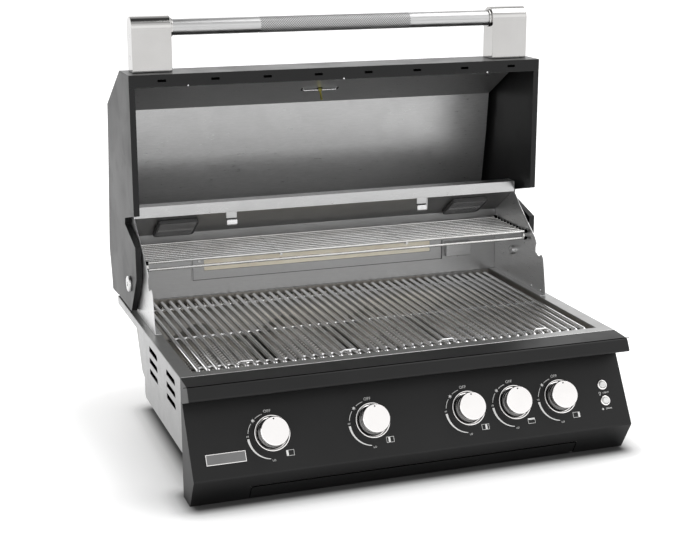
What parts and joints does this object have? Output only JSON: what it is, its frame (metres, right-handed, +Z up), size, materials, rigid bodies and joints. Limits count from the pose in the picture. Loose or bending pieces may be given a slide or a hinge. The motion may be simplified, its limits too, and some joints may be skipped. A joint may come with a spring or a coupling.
{
  "type": "built in gas grill",
  "caption": "Built-in gas grill with a hinged double-walled lid, cooking grates over tube burners, a warming rack, a rear burner, a slanted knob panel and a pull-out grease tray.",
  "frame": {"origin": "on the flat underside of the tray housing, on the centre plane, 262 mm behind the front edge of the top frame", "axes": "+X to the right of someone standing in front, -Y out of the front, +Z up"},
  "size_m": [0.8302, 0.6811, 0.7735],
  "materials": {
    "brushed_steel": "satin, brushed along the width",
    "grate_steel": "satin, a little heat-tinted",
    "black_paint": "semi-gloss powder coat",
    "chrome": "polished",
    "brass": "machined",
    "lamp_glass": "dark glossy lamp cover",
    "ceramic": "matt perforated ceramic",
    "white_plastic": "glossy"
  },
  "bodies": {
    "grill_body": {"top_frame": "brushed_steel", "side_panel_left": "brushed_steel", "side_panel_right": "brushed_steel", "firebox_shell": "brushed_steel", "firebox_side_left": "brushed_steel", "firebox_side_right": "brushed_steel", "rear_wall": "brushed_steel", "rear_cover": "brushed_steel", "rear_burner": "brushed_steel", "tray_housing": "brushed_steel", "burner_1": "grate_steel", "burner_2": "grate_steel", "burner_3": "grate_steel", "burner_4": "grate_steel", "front_ledge": "black_paint", "control_panel": "black_paint", "badge_plate": "chrome", "hinge_bolt_left": "chrome", "hinge_bolt_right": "chrome", "knob_bezel_1": "chrome", "knob_bezel_2": "chrome", "knob_bezel_3": "chrome", "knob_bezel_4": "chrome", "knob_bezel_5": "chrome", "gas_manifold": "brass", "lamp_left": "lamp_glass", "lamp_right": "lamp_glass", "rear_burner_ceramic": "ceramic"},
    "lid": {"lid_shell": "black_paint", "lid_side_left": "black_paint", "lid_side_right": "black_paint", "lid_liner": "brushed_steel", "handle_post_left": "chrome", "handle_post_right": "chrome", "handle_tube": "chrome", "thermometer": "chrome"},
    "needle": {"gauge_needle": "black_paint"},
    "tray": {"grease_tray": "brushed_steel", "tray_front": "black_paint"},
    "rack": {"warming_rack": "chrome"},
    "light_switch": {"light_button": "white_plastic"},
    "igniter_switch": {"igniter_button": "white_plastic"},
    "stem_1": {"valve_stem_1": "brass"},
    "dial_1": {"knob_1": "chrome"},
    "stem_2": {"valve_stem_2": "brass"},
    "dial_2": {"knob_2": "chrome"},
    "stem_3": {"valve_stem_3": "brass"},
    "dial_3": {"knob_3": "chrome"},
    "stem_4": {"valve_stem_4": "brass"},
    "dial_4": {"knob_4": "chrome"},
    "stem_5": {"valve_stem_5": "brass"},
    "dial_5": {"knob_5": "chrome"},
    "grate_1": {"cooking_grate_1": "grate_steel"},
    "tamer_1": {"flame_tamer_1": "grate_steel"},
    "grate_2": {"cooking_grate_2": "grate_steel"},
    "tamer_2": {"flame_tamer_2": "grate_steel"},
    "grate_3": {"cooking_grate_3": "grate_steel"},
    "tamer_3": {"flame_tamer_3": "grate_steel"},
    "grate_4": {"cooking_grate_4": "grate_steel"},
    "tamer_4": {"flame_tamer_4": "grate_steel"}
  },
  "joints": [
    {"name": "lid_hinge", "type": "hinge", "parent": "grill_body", "child": "lid", "pos_m": [0, 0.134, 0.273], "axis": [1, 0, 0], "range_deg": [0, 90]},
    {"name": "needle_turn", "type": "hinge", "parent": "lid", "child": "needle", "pos_m": [0, 0.2295, 0.633], "axis": [0, -0.4995, -0.8663], "range_deg": [0, 270]},
    {"name": "tray_slide", "type": "slide", "parent": "grill_body", "child": "tray", "axis": [0, -1, 0], "range_m": [0, 0.38]},
    {"name": "rack_lift", "type": "slide", "parent": "grill_body", "child": "rack", "axis": [0, 0, 1], "range_m": [0, 0.008]},
    {"name": "valve_push_1", "type": "slide", "parent": "grill_body", "child": "stem_1", "axis": [0, 0.8641, -0.5034], "range_m": [0, 0.003], "stiffness_N_per_m": 900, "springref_m": -0.002},
    {"name": "knob_turn_1", "type": "hinge", "parent": "stem_1", "child": "dial_1", "pos_m": [-0.264, -0.30583, 0.11114], "axis": [0, -0.8641, 0.5034], "range_deg": [0, 180]},
    {"name": "valve_push_2", "type": "slide", "parent": "grill_body", "child": "stem_2", "axis": [0, 0.8641, -0.5034], "range_m": [0, 0.003], "stiffness_N_per_m": 900, "springref_m": -0.002},
    {"name": "knob_turn_2", "type": "hinge", "parent": "stem_2", "child": "dial_2", "pos_m": [-0.0842, -0.30583, 0.11114], "axis": [0, -0.8641, 0.5034], "range_deg": [0, 180]},
    {"name": "valve_push_3", "type": "slide", "parent": "grill_body", "child": "stem_3", "axis": [0, 0.8641, -0.5034], "range_m": [0, 0.003], "stiffness_N_per_m": 900, "springref_m": -0.002},
    {"name": "knob_turn_3", "type": "hinge", "parent": "stem_3", "child": "dial_3", "pos_m": [0.0956, -0.30583, 0.11114], "axis": [0, -0.8641, 0.5034], "range_deg": [0, 180]},
    {"name": "valve_push_4", "type": "slide", "parent": "grill_body", "child": "stem_4", "axis": [0, 0.8641, -0.5034], "range_m": [0, 0.003], "stiffness_N_per_m": 900, "springref_m": -0.002},
    {"name": "knob_turn_4", "type": "hinge", "parent": "stem_4", "child": "dial_4", "pos_m": [0.1855, -0.30583, 0.11114], "axis": [0, -0.8641, 0.5034], "range_deg": [0, 180]},
    {"name": "valve_push_5", "type": "slide", "parent": "grill_body", "child": "stem_5", "axis": [0, 0.8641, -0.5034], "range_m": [0, 0.003], "stiffness_N_per_m": 900, "springref_m": -0.002},
    {"name": "knob_turn_5", "type": "hinge", "parent": "stem_5", "child": "dial_5", "pos_m": [0.2754, -0.30583, 0.11114], "axis": [0, -0.8641, 0.5034], "range_deg": [0, 180]},
    {"name": "light_push", "type": "slide", "parent": "grill_body", "child": "light_switch", "axis": [0, 0.8641, -0.5034], "range_m": [0, 0.0025], "stiffness_N_per_m": 400, "springref_m": -0.001},
    {"name": "igniter_push", "type": "slide", "parent": "grill_body", "child": "igniter_switch", "axis": [0, 0.8641, -0.5034], "range_m": [0, 0.0025], "stiffness_N_per_m": 400, "springref_m": -0.001},
    {"name": "grate_lift_1", "type": "slide", "parent": "grill_body", "child": "grate_1", "axis": [0, 0, 1], "range_m": [0, 0.035]},
    {"name": "tamer_lift_1", "type": "slide", "parent": "grill_body", "child": "tamer_1", "axis": [0, 0, 1], "range_m": [0, 0.02]},
    {"name": "grate_lift_2", "type": "slide", "parent": "grill_body", "child": "grate_2", "axis": [0, 0, 1], "range_m": [0, 0.035]},
    {"name": "tamer_lift_2", "type": "slide", "parent": "grill_body", "child": "tamer_2", "axis": [0, 0, 1], "range_m": [0, 0.02]},
    {"name": "grate_lift_3", "type": "slide", "parent": "grill_body", "child": "grate_3", "axis": [0, 0, 1], "range_m": [0, 0.035]},
    {"name": "tamer_lift_3", "type": "slide", "parent": "grill_body", "child": "tamer_3", "axis": [0, 0, 1], "range_m": [0, 0.02]},
    {"name": "grate_lift_4", "type": "slide", "parent": "grill_body", "child": "grate_4", "axis": [0, 0, 1], "range_m": [0, 0.035]},
    {"name": "tamer_lift_4", "type": "slide", "parent": "grill_body", "child": "tamer_4", "axis": [0, 0, 1], "range_m": [0, 0.02]}
  ]
}
